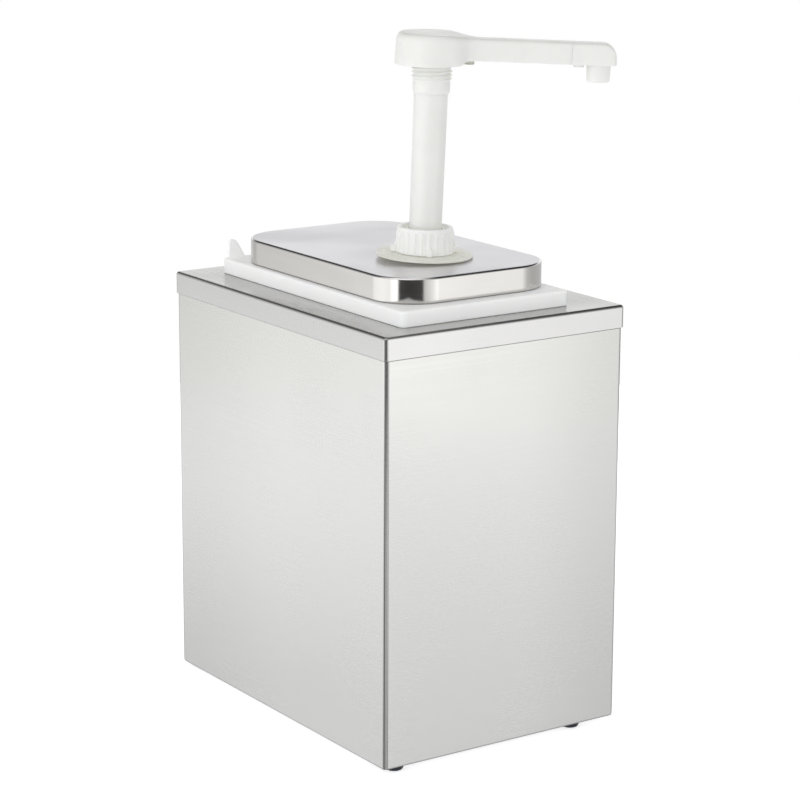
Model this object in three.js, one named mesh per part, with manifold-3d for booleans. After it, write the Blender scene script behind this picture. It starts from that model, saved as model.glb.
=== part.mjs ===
// Countertop condiment pump dispenser: a folded stainless housing that holds a
// white lift-out jar, closed by a deep-drawn lid that carries a stroke pump with
// a swivelling spout. Millimetres, +Z up, origin on the table under the middle of
// the whole object's footprint, spout included. +X runs along the narrow front
// panel, +Y towards the back panel.
import * as THREE from 'three';
import { mergeVertices } from 'three/addons/utils/BufferGeometryUtils.js';
import Module from 'manifold-3d';

const wasm = await Module();
wasm.setup();

// ---------------------------------------------------------------- dimensions
const GAP = 0.3;                 // running gap between separate pieces
const SHEET = 0.8;               // stainless sheet thickness

const FOOT_H = 3.5;              // table to underside of housing
const FOOT_R = 5.0;
const FOOT_X = [-70.5, 55.5];
const FOOT_Y = [-106.5, 106.5];

const HOUSING_W = 164.7;         // along X, outside
const HOUSING_D = 228.6;         // along Y, outside
const HOUSING_H = 250.0;         // underside of housing to top of cover
const BEND_R = 1.8;              // outside radius of the folded corners
const COVER_TOP = FOOT_H + HOUSING_H;
const COVER_SKIRT = 13.3;
const COVER_PROUD = 0.3;
const CUTOUT_HX = 51.5, CUTOUT_HY = 89.5, CUTOUT_R = 20;

const JAR_CX = -3.5, JAR_CY = -2.0;      // jar sits against one corner of the cut-out
const RIM_HX = 58.0, RIM_HY = 97.5, RIM_R = 3.7, RIM_H = 9.3;
const RIM_TOP = COVER_TOP + RIM_H;
const JAR_BOTTOM = 22.0;

const LID_CX = -1.5, LID_CY = -1.7;
const LID_HX = 56.0, LID_HY = 89.0, LID_R = 27.0, LID_H = 15.0, LID_BEND = 2.5;
const LID_TOP = RIM_TOP + LID_H;
const LID_HOLE_R = 16.6;

const ORIGIN_X = 3.4;                    // the spout's overhang moves the middle this far from the housing's

const PUMP_X = -3.0, PUMP_Y = -36.0;     // pump axis where it crosses the lid's top
const PUMP_HEADING = -34.25;             // degrees about +Z: the way the spout points
const PUMP_LEAN = 2.0;                   // degrees the pump leans towards its spout

// Pump dimensions: radius about the pump axis, s = height along it above the lid.
const FLANGE_R = 28.5, FLANGE_S0 = 1.35, FLANGE_EDGE = 1.25;
const NUT_S0 = 3.3, NUT_TOP = 18.3, NUT_R0 = 17.2, NUT_R1 = 16.6, NUT_OPEN_R = 13.7;
const NUT_RIBS = 24, RIB_DEPTH = 0.55;
const COLLAR_TOP = 18.6;
const BARREL_IN = 12.0, BARREL_OUT = 12.8;
const STROKE = 74.0;                     // travel of the plunger
const STEM_R_LOW = 9.3, STEM_R_TOP = 9.6, STEM_BORE = 6.0;
const NECK_BOTTOM = 94.0, NECK_R = 10.45, THREAD_R = 11.6, THREAD_PITCH = 2.25;
const HEAD_S0 = 112.5, HEAD_TOP = 129.8, HEAD_R = 21.3, HEAD_TOP_R = 18.0;
const ARM_S0 = 115.15, ARM_TOP = 127.7, ARM_HALF = 7.2, ARM_END = 79.0;
const CHANNEL_S = 121.8, CHANNEL_R = 3.6;
const NOZZLE_X = 94.8, NOZZLE_R = 6.75, NOZZLE_S0 = 105.5, NOZZLE_BORE = 4.2;
const SPOUT_END = 105.0;
const PISTON_TOP = 3.4, PISTON_BOTTOM = -12.0;
const SPRING_TOP = -12.4, SPRING_BOTTOM = -98.6, SPRING_R = 8.6, SPRING_WIRE = 1.3, SPRING_TURNS = 8;
const DIP_BOTTOM = -244.0;

// ------------------------------------------------------------------- helpers
function tidy(geometry) {
  let g = geometry.clone();
  g.deleteAttribute('normal');
  g.deleteAttribute('uv');
  g = mergeVertices(g, 1e-4);
  const p = g.getAttribute('position');
  const idx = g.index.array;
  const out = [];
  for (let i = 0; i < idx.length; i += 3) {
    const [a, b, c] = [idx[i], idx[i + 1], idx[i + 2]];
    if (a !== b && b !== c && c !== a) out.push(a, b, c);
  }
  let volume = 0;
  const va = new THREE.Vector3(), vb = new THREE.Vector3(), vc = new THREE.Vector3();
  for (let i = 0; i < out.length; i += 3) {
    va.fromBufferAttribute(p, out[i]);
    vb.fromBufferAttribute(p, out[i + 1]);
    vc.fromBufferAttribute(p, out[i + 2]);
    volume += va.dot(vb.cross(vc));
  }
  if (volume < 0) for (let i = 0; i < out.length; i += 3) [out[i + 1], out[i + 2]] = [out[i + 2], out[i + 1]];
  const r = new THREE.BufferGeometry();
  r.setAttribute('position', new THREE.BufferAttribute(Float32Array.from(p.array), 3));
  r.setIndex(out);
  return r;
}
const solid = (geometry) => {
  const g = tidy(geometry);
  return new wasm.Manifold(new wasm.Mesh({
    numProp: 3,
    vertProperties: g.getAttribute('position').array,
    triVerts: Uint32Array.from(g.index.array),
  }));
};
function fromSolid(s) {
  const m = s.getMesh();
  const g = new THREE.BufferGeometry();
  g.setAttribute('position', new THREE.BufferAttribute(Float32Array.from(m.vertProperties), 3));
  g.setIndex(Array.from(m.triVerts));
  return g;
}
const unite = (...g) => fromSolid(g.map(solid).reduce((a, b) => a.add(b)));
const cut = (base, ...tools) => fromSolid(tools.map(solid).reduce((a, b) => a.subtract(b), solid(base)));

// Profile of [radius, height] pairs turned about Z. Starts and ends on the axis,
// or is closed by repeating its first point.
function turned(profile, segments = 32, closed = false) {
  const pts = (closed ? [...profile, profile[0]] : profile).map(([r, z]) => new THREE.Vector2(r, z));
  return new THREE.LatheGeometry(pts, segments).rotateX(Math.PI / 2);
}
const rod = (r, z0, z1, segments = 24, x = 0, y = 0) =>
  turned([[0, z0], [r, z0], [r, z1], [0, z1]], segments).translate(x, y, 0);
const box = (x0, x1, y0, y1, z0, z1) =>
  new THREE.BoxGeometry(x1 - x0, y1 - y0, z1 - z0).translate((x0 + x1) / 2, (y0 + y1) / 2, (z0 + z1) / 2);

// A rounded rectangle of half sizes hx, hy and corner radius r at height z.
function ring(hx, hy, r, z, cx = 0, cy = 0, k = 5) {
  const pts = [];
  const corners = [[hx - r, hy - r, 0], [r - hx, hy - r, 90], [r - hx, r - hy, 180], [hx - r, r - hy, 270]];
  for (const [x, y, a0] of corners) for (let i = 0; i <= k; i++) {
    const a = THREE.MathUtils.degToRad(a0 + 90 * i / k);
    pts.push([cx + x + r * Math.cos(a), cy + y + r * Math.sin(a), z]);
  }
  return pts;
}
// Skins a list of equal rings; ends are capped unless the rings close on themselves.
function skin(rings, closed = false) {
  const n = rings[0].length, pos = [], idx = [];
  for (const q of rings) for (const p of q) pos.push(...p);
  const m = rings.length;
  for (let j = 0; j < (closed ? m : m - 1); j++) for (let i = 0; i < n; i++) {
    const a = j * n + i, b = j * n + (i + 1) % n;
    const c = ((j + 1) % m) * n + i, d = ((j + 1) % m) * n + (i + 1) % n;
    idx.push(a, b, d, a, d, c);
  }
  if (!closed) for (const [j, flip] of [[0, true], [m - 1, false]]) {
    const c = rings[j].reduce((s, p) => [s[0] + p[0] / n, s[1] + p[1] / n, p[2]], [0, 0, 0]);
    const k = pos.length / 3;
    pos.push(...c);
    for (let i = 0; i < n; i++) {
      const a = j * n + i, b = j * n + (i + 1) % n;
      if (flip) idx.push(k, b, a); else idx.push(k, a, b);
    }
  }
  const g = new THREE.BufferGeometry();
  g.setAttribute('position', new THREE.Float32BufferAttribute(pos, 3));
  g.setIndex(idx);
  return g;
}
// A closed outline in the XZ plane given a thickness along Y.
function slab(points, y0, y1) {
  const s = new THREE.Shape(points.map(([x, z]) => new THREE.Vector2(x, z)));
  return new THREE.ExtrudeGeometry(s, { depth: y1 - y0, bevelEnabled: false }).rotateX(Math.PI / 2).translate(0, y1, 0);
}
// An outline in the XY plane given a height along Z.
function plate(shape, z0, z1, curveSegments = 8) {
  return new THREE.ExtrudeGeometry(shape, { depth: z1 - z0, bevelEnabled: false, curveSegments }).translate(0, 0, z0);
}

// ----------------------------------------------------------------- materials
const steel = (c = 0xc9cac8, rough = 0.32) => new THREE.MeshStandardMaterial({ color: c, roughness: rough, metalness: 1 });
const plastic = (c = 0xf1f1ee, rough = 0.4) => new THREE.MeshStandardMaterial({ color: c, roughness: rough, metalness: 0 });

const model = new THREE.Group();
function piece(name, geometry, material, parent = model) {
  const mesh = new THREE.Mesh(tidy(geometry), material);
  mesh.name = name;
  parent.add(mesh);
  return mesh;
}

// ------------------------------------------------------------------- housing
const HX = HOUSING_W / 2, HY = HOUSING_D / 2;
const SEAM = COVER_TOP - COVER_SKIRT;
const NECK_IN = 1.45;            // the joggle that lets the cover sit flush
piece('housing_sleeve', skin([
  ring(HX, HY, BEND_R, FOOT_H),
  ring(HX, HY, BEND_R, SEAM - GAP),
  ring(HX - NECK_IN, HY - NECK_IN, BEND_R, SEAM - GAP),
  ring(HX - NECK_IN, HY - NECK_IN, BEND_R, COVER_TOP - SHEET - 0.4),
  ring(HX - NECK_IN - SHEET, HY - NECK_IN - SHEET, 1.0, COVER_TOP - SHEET - 0.4),
  ring(HX - NECK_IN - SHEET, HY - NECK_IN - SHEET, 1.0, SEAM - GAP - SHEET),
  ring(HX - SHEET, HY - SHEET, 1.0, SEAM - GAP - SHEET),
  ring(HX - SHEET, HY - SHEET, 1.0, FOOT_H),
], true), steel());

const CX = HX + COVER_PROUD, CY = HY + COVER_PROUD;
piece('top_cover', skin([
  ring(CX, CY, BEND_R + COVER_PROUD, SEAM),
  ring(CX, CY, BEND_R + COVER_PROUD, COVER_TOP - 1.0),
  ring(CX - 0.3, CY - 0.3, BEND_R, COVER_TOP - 0.3),
  ring(CX - 1.0, CY - 1.0, BEND_R - 0.7, COVER_TOP),
  ring(CUTOUT_HX, CUTOUT_HY, CUTOUT_R, COVER_TOP),
  ring(CUTOUT_HX, CUTOUT_HY, CUTOUT_R, COVER_TOP - 6),
  ring(CUTOUT_HX + SHEET, CUTOUT_HY + SHEET, CUTOUT_R + SHEET, COVER_TOP - 6),
  ring(CUTOUT_HX + SHEET, CUTOUT_HY + SHEET, CUTOUT_R + SHEET, COVER_TOP - SHEET),
  ring(CX - SHEET, CY - SHEET, 1.2, COVER_TOP - SHEET),
  ring(CX - SHEET, CY - SHEET, 1.2, SEAM),
], true), steel(0xc4c5c4, 0.3));

const TX = HX - SHEET - GAP, TY = HY - SHEET - GAP;
const tray = skin([
  ring(TX, TY, 1.5, FOOT_H, 0, 0, 3),
  ring(TX, TY, 1.5, FOOT_H + 12, 0, 0, 3),
  ring(TX - SHEET, TY - SHEET, 0.8, FOOT_H + 12, 0, 0, 3),
  ring(TX - SHEET, TY - SHEET, 0.8, FOOT_H + SHEET, 0, 0, 3),
]);
const footSpots = [];
for (const y of FOOT_Y) for (const x of FOOT_X) footSpots.push([x, y]);
piece('base_plate', cut(tray, ...footSpots.map(([x, y]) => rod(2.3, 0, 9, 12, x, y))), steel(0xb9bab9, 0.4));

const corners = ['front_left', 'front_right', 'back_left', 'back_right'];
footSpots.forEach(([x, y], i) => {
  const foot = piece(`foot_${corners[i]}`, turned([
    [3.1, 0], [FOOT_R - 0.5, 0], [FOOT_R, 0.6], [FOOT_R, FOOT_H - GAP], [2.3, FOOT_H - GAP], [2.3, 1.7], [3.1, 1.7],
  ], 16, true), new THREE.MeshStandardMaterial({ color: 0x1d1e24, roughness: 0.6, metalness: 0 }));
  foot.position.set(x, y, 0);
  const screw = piece(`foot_screw_${corners[i]}`, turned([
    [0, 0.35], [2.1, 0.35], [2.7, 0.8], [2.7, 1.4], [1.95, 1.4], [1.95, 8.6], [0, 8.6],
  ], 12), steel(0xa8a9aa, 0.35));
  screw.position.set(x, y, 0);
  const hex = new THREE.Shape();
  for (let k = 0; k < 6; k++) hex[k ? 'lineTo' : 'moveTo'](4.05 * Math.cos(k * Math.PI / 3), 4.05 * Math.sin(k * Math.PI / 3));
  hex.closePath();
  const hole = new THREE.Path();
  for (let k = 0; k < 12; k++) hole[k ? 'lineTo' : 'moveTo'](2.3 * Math.cos(-k * Math.PI / 6), 2.3 * Math.sin(-k * Math.PI / 6));
  hole.closePath();
  hex.holes.push(hole);
  const nut = piece(`foot_nut_${corners[i]}`, plate(hex, FOOT_H + SHEET + GAP, FOOT_H + SHEET + GAP + 3.0), steel(0xa8a9aa, 0.35));
  nut.position.set(x, y, 0);
});

// ----------------------------------------------------------------------- jar
const jr = (hx, hy, r, z) => ring(hx, hy, r, z, JAR_CX, JAR_CY);
const jarShell = skin([
  jr(38, 78, 14, JAR_BOTTOM),
  jr(41.3, 81.3, 17, JAR_BOTTOM + 3.5),
  jr(47, 86.5, 20, COVER_TOP + 2.5),
  jr(52, 90, 22, RIM_TOP - 2.2),
  jr(RIM_HX - 2, RIM_HY - 2, RIM_R - 2, RIM_TOP - 2.2),
  jr(RIM_HX - 2, RIM_HY - 2, RIM_R - 2, COVER_TOP + GAP),
  jr(RIM_HX, RIM_HY, RIM_R, COVER_TOP + GAP),
  jr(RIM_HX, RIM_HY, RIM_R, RIM_TOP - 0.8),
  jr(RIM_HX - 0.8, RIM_HY - 0.8, RIM_R - 0.8, RIM_TOP),
  jr(52.4, 87.4, 26, RIM_TOP),
  jr(52.4, 87.4, 26, RIM_TOP + 8.5),
  jr(50.4, 85.4, 24, RIM_TOP + 8.5),
  jr(50.4, 85.4, 24, RIM_TOP - 0.6),
  jr(45, 84.5, 18.5, COVER_TOP + 4.5),
  jr(39.6, 79.6, 15.5, JAR_BOTTOM + 6),
  jr(36.4, 76.4, 12.5, JAR_BOTTOM + 2.5),
]);
// the lift tab: a thin fin standing on the rim's back edge beside the far left corner
const tabOutline = [[-57.0, -1.5], [-45.2, -1.5], [-46.0, 0.5], [-46.8, 1.6], [-48.2, 4.4], [-49.4, 6.8], [-50.6, 8.6], [-51.8, 9.8], [-53.4, 10.5], [-55.2, 10.5], [-56.4, 9.8], [-57.0, 8.6]];
const tab = slab(tabOutline, JAR_CY + RIM_HY - 2.9, JAR_CY + RIM_HY - 0.8).translate(0, 0, RIM_TOP);
piece('jar', unite(jarShell, tab), plastic(0xf4f4f3, 0.45));

// ----------------------------------------------------------------------- lid
const lr = (inset, z) => ring(LID_HX - inset, LID_HY - inset, LID_R - inset, z, LID_CX, LID_CY, 7);
const LB = LID_BEND;
piece('lid', cut(skin([
  lr(LB + 0.1, LID_TOP - SHEET),
  lr(SHEET, LID_TOP - LB),
  lr(SHEET, RIM_TOP + GAP),
  lr(0, RIM_TOP + GAP),
  lr(0, LID_TOP - LB),
  lr(LB * 0.29, LID_TOP - LB * 0.29),
  lr(LB, LID_TOP),
]), rod(LID_HOLE_R, LID_TOP - 8, LID_TOP + 4, 32, PUMP_X, PUMP_Y)), steel(0xd0d0d2, 0.22));

// ---------------------------------------------------------------------- pump
// Everything on the pump shares one axis, so it is built upright in this group.
const heading = new THREE.Group();
heading.position.set(PUMP_X, PUMP_Y, LID_TOP);
heading.rotation.z = THREE.MathUtils.degToRad(PUMP_HEADING);
const pump = new THREE.Group();
pump.rotation.y = THREE.MathUtils.degToRad(PUMP_LEAN);
heading.add(pump);
model.add(heading);
const SEG = 32;
const natural = (c = 0xe4e4d6, rough = 0.35) => plastic(c, rough);

// mounting flange with its threaded neck above the lid and threaded shank below
piece('mounting_flange', turned([
  [13.2, -14], [14.6, -14], [14.6, -12], [15.2, -11.4], [14.6, -10.4], [14.6, -8.6], [15.2, -8.0], [14.6, -7.0],
  [14.6, FLANGE_S0], [FLANGE_R - 0.3, FLANGE_S0], [FLANGE_R, FLANGE_S0 + 0.4], [FLANGE_R - 0.3, FLANGE_S0 + FLANGE_EDGE],
  [24, FLANGE_S0 + FLANGE_EDGE], [23.6, NUT_S0 - GAP], [14.0, NUT_S0 - GAP],
  [14.0, 5.6], [14.8, 6.2], [14.0, 7.2], [14.0, 8.6], [14.8, 9.2], [14.0, 10.2], [14.0, 13.0], [13.2, 13.0],
], SEG, true), natural(), pump);

// clamp nut under the lid, with a soft seal that takes up the lean
const clampOutline = new THREE.Shape();
for (let k = 0; k < 16; k++) {
  const a = k * Math.PI / 8, r = k % 2 ? 20.0 : 21.5;
  clampOutline[k ? 'lineTo' : 'moveTo'](r * Math.cos(a), r * Math.sin(a));
}
clampOutline.closePath();
piece('clamp_nut', cut(plate(clampOutline, -12.5, -5.0), rod(15.6, -20, 0, SEG)), plastic(), pump);
const sealBlank = turned([[15.6, -4.7], [21.0, -4.7], [21.0, 4], [15.6, 4]], SEG, true);
const above = new THREE.BoxGeometry(120, 120, 40).translate(0, 0, 20 - SHEET - GAP);
above.applyMatrix4(new THREE.Matrix4().makeRotationY(-THREE.MathUtils.degToRad(PUMP_LEAN)));
piece('lid_seal', cut(sealBlank, above), new THREE.MeshStandardMaterial({ color: 0xd8d8cc, roughness: 0.7, metalness: 0 }), pump);

// closure nut: ribbed skirt, smooth rolled top, four base lugs
const ribbed = new THREE.Shape();
for (let k = 0; k < NUT_RIBS * 4; k++) {
  const a = k * 2 * Math.PI / (NUT_RIBS * 4), r = [0, 0, -RIB_DEPTH, -RIB_DEPTH][k % 4] + NUT_R0;
  ribbed[k ? 'lineTo' : 'moveTo'](r * Math.cos(a), r * Math.sin(a));
}
ribbed.closePath();
const nutBody = turned([[0, NUT_S0], [NUT_R0 - RIB_DEPTH, NUT_S0], [NUT_R1, NUT_TOP - 1.6], [NUT_R1 - 0.5, NUT_TOP - 0.5], [NUT_R1 - 1.6, NUT_TOP], [0, NUT_TOP]], SEG);
const nutRibs = plate(ribbed, NUT_S0, NUT_TOP - 2.2);
const nutBore = turned([[0, NUT_S0 - 1], [15.4, NUT_S0 - 1], [15.4, 15.1], [NUT_OPEN_R, 15.1], [NUT_OPEN_R, 30], [0, 30]], SEG);
const lugs = [-81.5, 8.5, 98.5, 188.5].map((deg) => {
  const r = THREE.MathUtils.degToRad(deg);
  return box(16.2, 19.8, -1.6, 1.6, NUT_S0, NUT_S0 + 3.7).rotateZ(r);
});
piece('closure_nut', fromSolid([nutRibs, ...lugs].map(solid).reduce((a, b) => a.add(b), solid(nutBody)).subtract(solid(nutBore))), plastic(0xf4f4f0, 0.35), pump);

// guide collar inside the top of the barrel
piece('guide_collar', turned([
  [9.9, 4.0], [11.7, 4.0], [11.7, 15.1], [13.4, 15.1], [13.4, 16.4], [11.2, 16.4], [11.2, COLLAR_TOP], [9.9, COLLAR_TOP],
], SEG, true), natural(0xdedfce, 0.4), pump);

// pump barrel: flanged tube, stepped foot with the inlet seat, and a nipple
piece('barrel', turned([
  [3.0, -126], [5.5, -126], [5.5, -115], [9.0, -112], [9.0, -103.6], [BARREL_OUT, -101], [BARREL_OUT, 13.3],
  [15.0, 13.3], [15.0, 14.8], [BARREL_IN, 14.8], [BARREL_IN, -101], [7.0, -101], [7.0, -107.5], [3.0, -112],
], SEG, true), natural(0xe9e9e0, 0.4), pump);
// the washer under the spring also cages the inlet ball; its slots let the sauce past
piece('spring_seat', cut(turned([[3.2, -100.7], [11.7, -100.7], [11.7, -99.0], [3.2, -99.0]], 24, true),
  ...[0, 120, 240].map((deg) => box(0, 6.6, -1.2, 1.2, -102, -98).rotateZ(THREE.MathUtils.degToRad(deg)))), natural(0xe9e9e0, 0.4), pump);
const sphere = (r, s) => new THREE.SphereGeometry(r, 14, 8).rotateX(Math.PI / 2).translate(0, 0, s);
piece('inlet_ball', sphere(4.2, -108.6), steel(0xc0c0c4, 0.15), pump);
piece('dip_tube', turned([[5.8, -115.6], [7.3, -115.6], [7.3, DIP_BOTTOM], [5.8, DIP_BOTTOM]], 20, true), natural(0xeeeee8, 0.4), pump);

// piston, its cup seal, and the return spring under it
piece('piston', turned([
  [3.2, PISTON_BOTTOM], [9.4, PISTON_BOTTOM], [9.4, -7.0], [11.6, -7.0], [11.6, PISTON_TOP], [9.5, PISTON_TOP], [9.5, -5.0], [5.6, -5.0], [3.2, -7.4],
], SEG, true), plastic(0xeef0f0, 0.4), pump);
piece('piston_seal', turned([[9.7, PISTON_BOTTOM], [10.6, PISTON_BOTTOM], [11.7, -11.4], [11.7, -8.0], [10.8, -7.3], [9.7, -7.3]], SEG, true),
  new THREE.MeshStandardMaterial({ color: 0xc9c6bb, roughness: 0.7, metalness: 0 }), pump);

class Coil extends THREE.Curve {
  getPoint(t, target = new THREE.Vector3()) {
    const a = t * SPRING_TURNS * 2 * Math.PI;
    const w = SPRING_WIRE / 2 + 0.05;
    const n = SPRING_TURNS;
    // closed end turns, open turns between
    const endTurn = 1 / n, pitchEnd = SPRING_WIRE + 0.35;
    const z0 = SPRING_BOTTOM + w, z1 = SPRING_TOP - w;
    let z;
    if (t < endTurn) z = z0 + pitchEnd * (t / endTurn);
    else if (t > 1 - endTurn) z = z1 - pitchEnd * ((1 - t) / endTurn);
    else z = z0 + pitchEnd + (z1 - z0 - 2 * pitchEnd) * ((t - endTurn) / (1 - 2 * endTurn));
    return target.set(SPRING_R * Math.cos(a), SPRING_R * Math.sin(a), z);
  }
}
const wire = new THREE.Shape();
for (let k = 0; k < 6; k++) wire[k ? 'lineTo' : 'moveTo'](SPRING_WIRE / 2 * Math.cos(k * Math.PI / 3), SPRING_WIRE / 2 * Math.sin(k * Math.PI / 3));
wire.closePath();
piece('return_spring', new THREE.ExtrudeGeometry(wire, { steps: SPRING_TURNS * 12, bevelEnabled: false, extrudePath: new Coil() }), steel(0xb8b8bc, 0.25), pump);

// stem, check ball, head with its arm, and the nozzle elbow
piece('stem', turned([
  [STEM_BORE, -4.7], [9.2, -4.7], [9.2, 4], [STEM_R_LOW, COLLAR_TOP], [STEM_R_TOP, NECK_BOTTOM - GAP], [8.2, NECK_BOTTOM - GAP], [8.2, 116], [STEM_BORE, 116],
  [STEM_BORE, 9.0], [3.8, 7.5], [3.8, 5.2], [STEM_BORE, 4.6],
], SEG, true), plastic(0xf1f2ef, 0.35), pump);
piece('outlet_ball', sphere(4.4, -3.9), steel(0xc0c0c4, 0.15), pump);

const neckProfile = [[0, NECK_BOTTOM], [9.7, NECK_BOTTOM], [NECK_R, NECK_BOTTOM + 1.4], [NECK_R, 102.4]];
for (let k = 0; k < 3; k++) {
  const s = 103.45 + k * THREAD_PITCH;
  neckProfile.push([NECK_R + 0.1, s - 0.8], [THREAD_R, s - 0.25], [THREAD_R, s + 0.25], [NECK_R + 0.1, s + 0.8]);
}
neckProfile.push([NECK_R, 110.4], [NECK_R, HEAD_S0 + 1], [0, HEAD_S0 + 1]);
const headCap = turned([[0, HEAD_S0], [HEAD_R - 0.4, HEAD_S0], [HEAD_R, HEAD_S0 + 0.5], [HEAD_R, HEAD_TOP - 5.2], [HEAD_R - 0.6, HEAD_TOP - 2.2], [HEAD_R - 1.9, HEAD_TOP - 0.6], [HEAD_TOP_R, HEAD_TOP], [0, HEAD_TOP]], 40);
const armShape = new THREE.Shape();
armShape.moveTo(0, -14);
armShape.lineTo(11, -14);
armShape.bezierCurveTo(19, -11, 23, -ARM_HALF, 34, -ARM_HALF);
armShape.lineTo(ARM_END, -ARM_HALF);
armShape.lineTo(ARM_END, ARM_HALF);
armShape.lineTo(34, ARM_HALF);
armShape.bezierCurveTo(23, ARM_HALF, 19, 11, 11, 14);
armShape.lineTo(0, 14);
armShape.closePath();
const arm = plate(armShape, ARM_S0, ARM_TOP, 8);
const along = (r, x0, x1, s, segments = 20) => turned([[0, x0], [r, x0], [r, x1], [0, x1]], segments).rotateY(Math.PI / 2).translate(0, 0, s);
const boss = rod(3.1, 113.4, ARM_S0 + 1, 12, 20.8, 0);
piece('spout_head', fromSolid(
  [arm, turned(neckProfile, SEG), boss].map(solid).reduce((a, b) => a.add(b), solid(headCap))
    .subtract(solid(rod(8.5, 60, 117, SEG)))
    .subtract(solid(rod(4.6, 110, CHANNEL_S + 2, 20)))
    .subtract(solid(along(CHANNEL_R, -1, ARM_END + 5, CHANNEL_S)))),
plastic(0xf4f4f3, 0.35), pump);

const E0 = ARM_END + GAP;
const endRadius = 8.4, EH = 7.6;
const elbowSide = [[E0, ARM_S0], [SPOUT_END, ARM_S0], [SPOUT_END, ARM_TOP - endRadius]];
for (let k = 1; k <= 6; k++) {
  const a = k * Math.PI / 12;
  elbowSide.push([SPOUT_END - endRadius + endRadius * Math.cos(a), ARM_TOP - endRadius + endRadius * Math.sin(a)]);
}
elbowSide.push([E0, ARM_TOP]);
const elbowPlan = new THREE.Shape();
elbowPlan.moveTo(E0, -EH);
elbowPlan.lineTo(SPOUT_END - 6.6, -EH);
elbowPlan.quadraticCurveTo(SPOUT_END, -EH, SPOUT_END, -1.4);
elbowPlan.lineTo(SPOUT_END, 1.4);
elbowPlan.quadraticCurveTo(SPOUT_END, EH, SPOUT_END - 6.6, EH);
elbowPlan.lineTo(E0, EH);
elbowPlan.closePath();
const elbowBody = fromSolid(solid(slab(elbowSide, -12, 12)).intersect(solid(plate(elbowPlan, 100, 140, 8))));
const nozzle = turned([[0, NOZZLE_S0], [NOZZLE_R - 1.0, NOZZLE_S0], [NOZZLE_R - 0.25, NOZZLE_S0 + 1.0], [NOZZLE_R, ARM_S0 + 1], [0, ARM_S0 + 1]], 24).translate(NOZZLE_X, 0, 0);
const catchLip = rod(3.0, ARM_S0 - 1.9, ARM_S0 + 1, 12, 83.4, 0);
piece('nozzle_elbow', fromSolid(
  [nozzle, catchLip, along(CHANNEL_R - GAP, 72, E0 + 1, CHANNEL_S, 16)].map(solid).reduce((a, b) => a.add(b), solid(elbowBody))
    .subtract(solid(rod(NOZZLE_BORE, NOZZLE_S0 - 2, CHANNEL_S, 20, NOZZLE_X, 0)))
    .subtract(solid(along(2.2, 70, NOZZLE_X + 2, CHANNEL_S, 16)))),
plastic(0xf4f4f3, 0.35), pump);

model.position.x = -ORIGIN_X;

export default model;
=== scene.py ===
import math

import bmesh
import bpy
import numpy as np
from mathutils import Matrix, Vector


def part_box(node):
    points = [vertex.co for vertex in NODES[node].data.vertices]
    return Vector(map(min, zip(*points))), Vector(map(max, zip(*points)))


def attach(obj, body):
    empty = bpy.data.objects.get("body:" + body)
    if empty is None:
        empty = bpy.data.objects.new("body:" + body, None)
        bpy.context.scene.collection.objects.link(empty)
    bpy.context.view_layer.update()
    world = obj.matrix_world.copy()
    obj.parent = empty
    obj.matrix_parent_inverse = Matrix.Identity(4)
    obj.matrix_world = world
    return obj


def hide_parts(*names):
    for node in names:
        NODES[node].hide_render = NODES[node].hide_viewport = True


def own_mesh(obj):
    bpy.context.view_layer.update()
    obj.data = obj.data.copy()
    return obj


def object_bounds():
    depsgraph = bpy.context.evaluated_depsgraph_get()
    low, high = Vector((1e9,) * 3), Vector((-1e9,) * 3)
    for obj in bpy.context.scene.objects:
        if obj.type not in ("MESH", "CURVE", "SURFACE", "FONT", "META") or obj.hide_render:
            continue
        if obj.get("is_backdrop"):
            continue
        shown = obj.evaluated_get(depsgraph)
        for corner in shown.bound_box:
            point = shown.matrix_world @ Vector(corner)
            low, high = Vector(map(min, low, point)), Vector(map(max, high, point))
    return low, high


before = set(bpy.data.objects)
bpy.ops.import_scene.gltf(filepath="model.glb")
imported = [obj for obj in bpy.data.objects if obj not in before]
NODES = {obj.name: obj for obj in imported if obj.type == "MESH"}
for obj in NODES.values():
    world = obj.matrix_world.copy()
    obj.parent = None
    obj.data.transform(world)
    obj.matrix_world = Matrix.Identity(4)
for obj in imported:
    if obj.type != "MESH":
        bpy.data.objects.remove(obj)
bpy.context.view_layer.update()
scene = bpy.context.scene
MM = 0.001

# ------------------------------------------------------------------ dimensions (mm, row frame)
OX = -3.4                                  # middle of the housing along X
FOOT_H = 3.5
HX, HY = 82.35, 114.3
COVER_TOP, SEAM = 253.5, 240.2
PROUD = 0.7
CUT_HX, CUT_HY, CUT_R = 51.5, 89.5, 20.0
JX, JY = OX - 3.5, -2.0
RIM_HX, RIM_HY, RIM_R = 58.0, 97.5, 3.7
RIM_TOP = 262.8
LX, LY = OX - 1.5, -1.7
LID_HX, LID_HY, LID_R = 56.0, 89.0, 27.0
LID_TOP = 277.8
PUMP = (OX - 3.0, -36.0, LID_TOP)
M_PUMP = (Matrix.Translation(Vector(PUMP) * MM)
          @ Matrix.Rotation(math.radians(-34.25), 4, "Z")
          @ Matrix.Rotation(math.radians(2.0), 4, "Y"))

# ------------------------------------------------------------------ camera
cam = bpy.data.objects.new("camera", bpy.data.cameras.new("camera"))
scene.collection.objects.link(cam)
cam.data.sensor_width = 36.0
cam.data.lens = 120.837
cam.data.clip_start, cam.data.clip_end = 0.05, 60.0
_r = (0.82720078, -0.56189018, 0.00427694)
_d = (-0.12864169, -0.19678145, -0.97197139)
_f = (0.5469828, 0.8034653, -0.23506027)
_c = (-0.8799587, -1.2949914, 0.5630250)
cam.matrix_world = Matrix([(_r[i], -_d[i], -_f[i], _c[i]) for i in range(3)] + [(0, 0, 0, 1)])
scene.camera = cam
scene.view_settings.view_transform = "Standard"
scene.view_settings.look = "None"


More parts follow.
